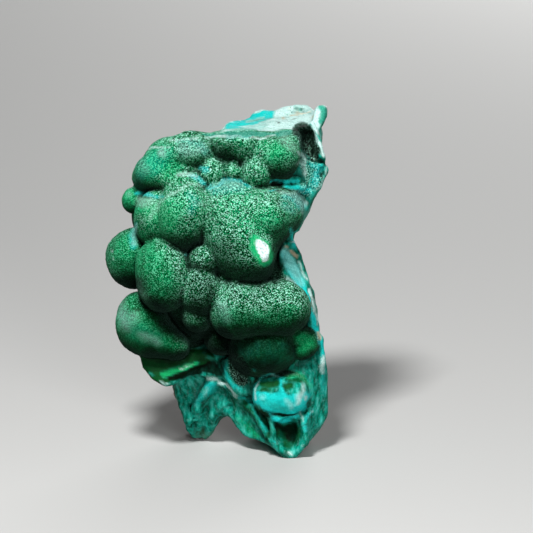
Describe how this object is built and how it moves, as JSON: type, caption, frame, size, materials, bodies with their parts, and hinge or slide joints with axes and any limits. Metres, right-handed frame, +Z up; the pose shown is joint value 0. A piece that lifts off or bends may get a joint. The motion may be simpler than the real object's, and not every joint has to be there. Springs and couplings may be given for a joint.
{
  "type": "malachite specimen",
  "caption": "Free-standing mineral specimen: a crust of fused, velvety green malachite lobes on a broken slab of blue-green host rock that stands on worn feet.",
  "frame": {"origin": "on the ground, under the centre of the specimen's bounding box", "axes": "+Z up along the slab's height, -Y towards the lobed growth face, +X to the right as seen from the growth face"},
  "size_m": [0.0382, 0.033, 0.0586],
  "materials": {
    "malachite": "matt velvety crust, satin on broken faces"
  },
  "bodies": {
    "root": {"malachite_specimen": "malachite"}
  },
  "joints": []
}
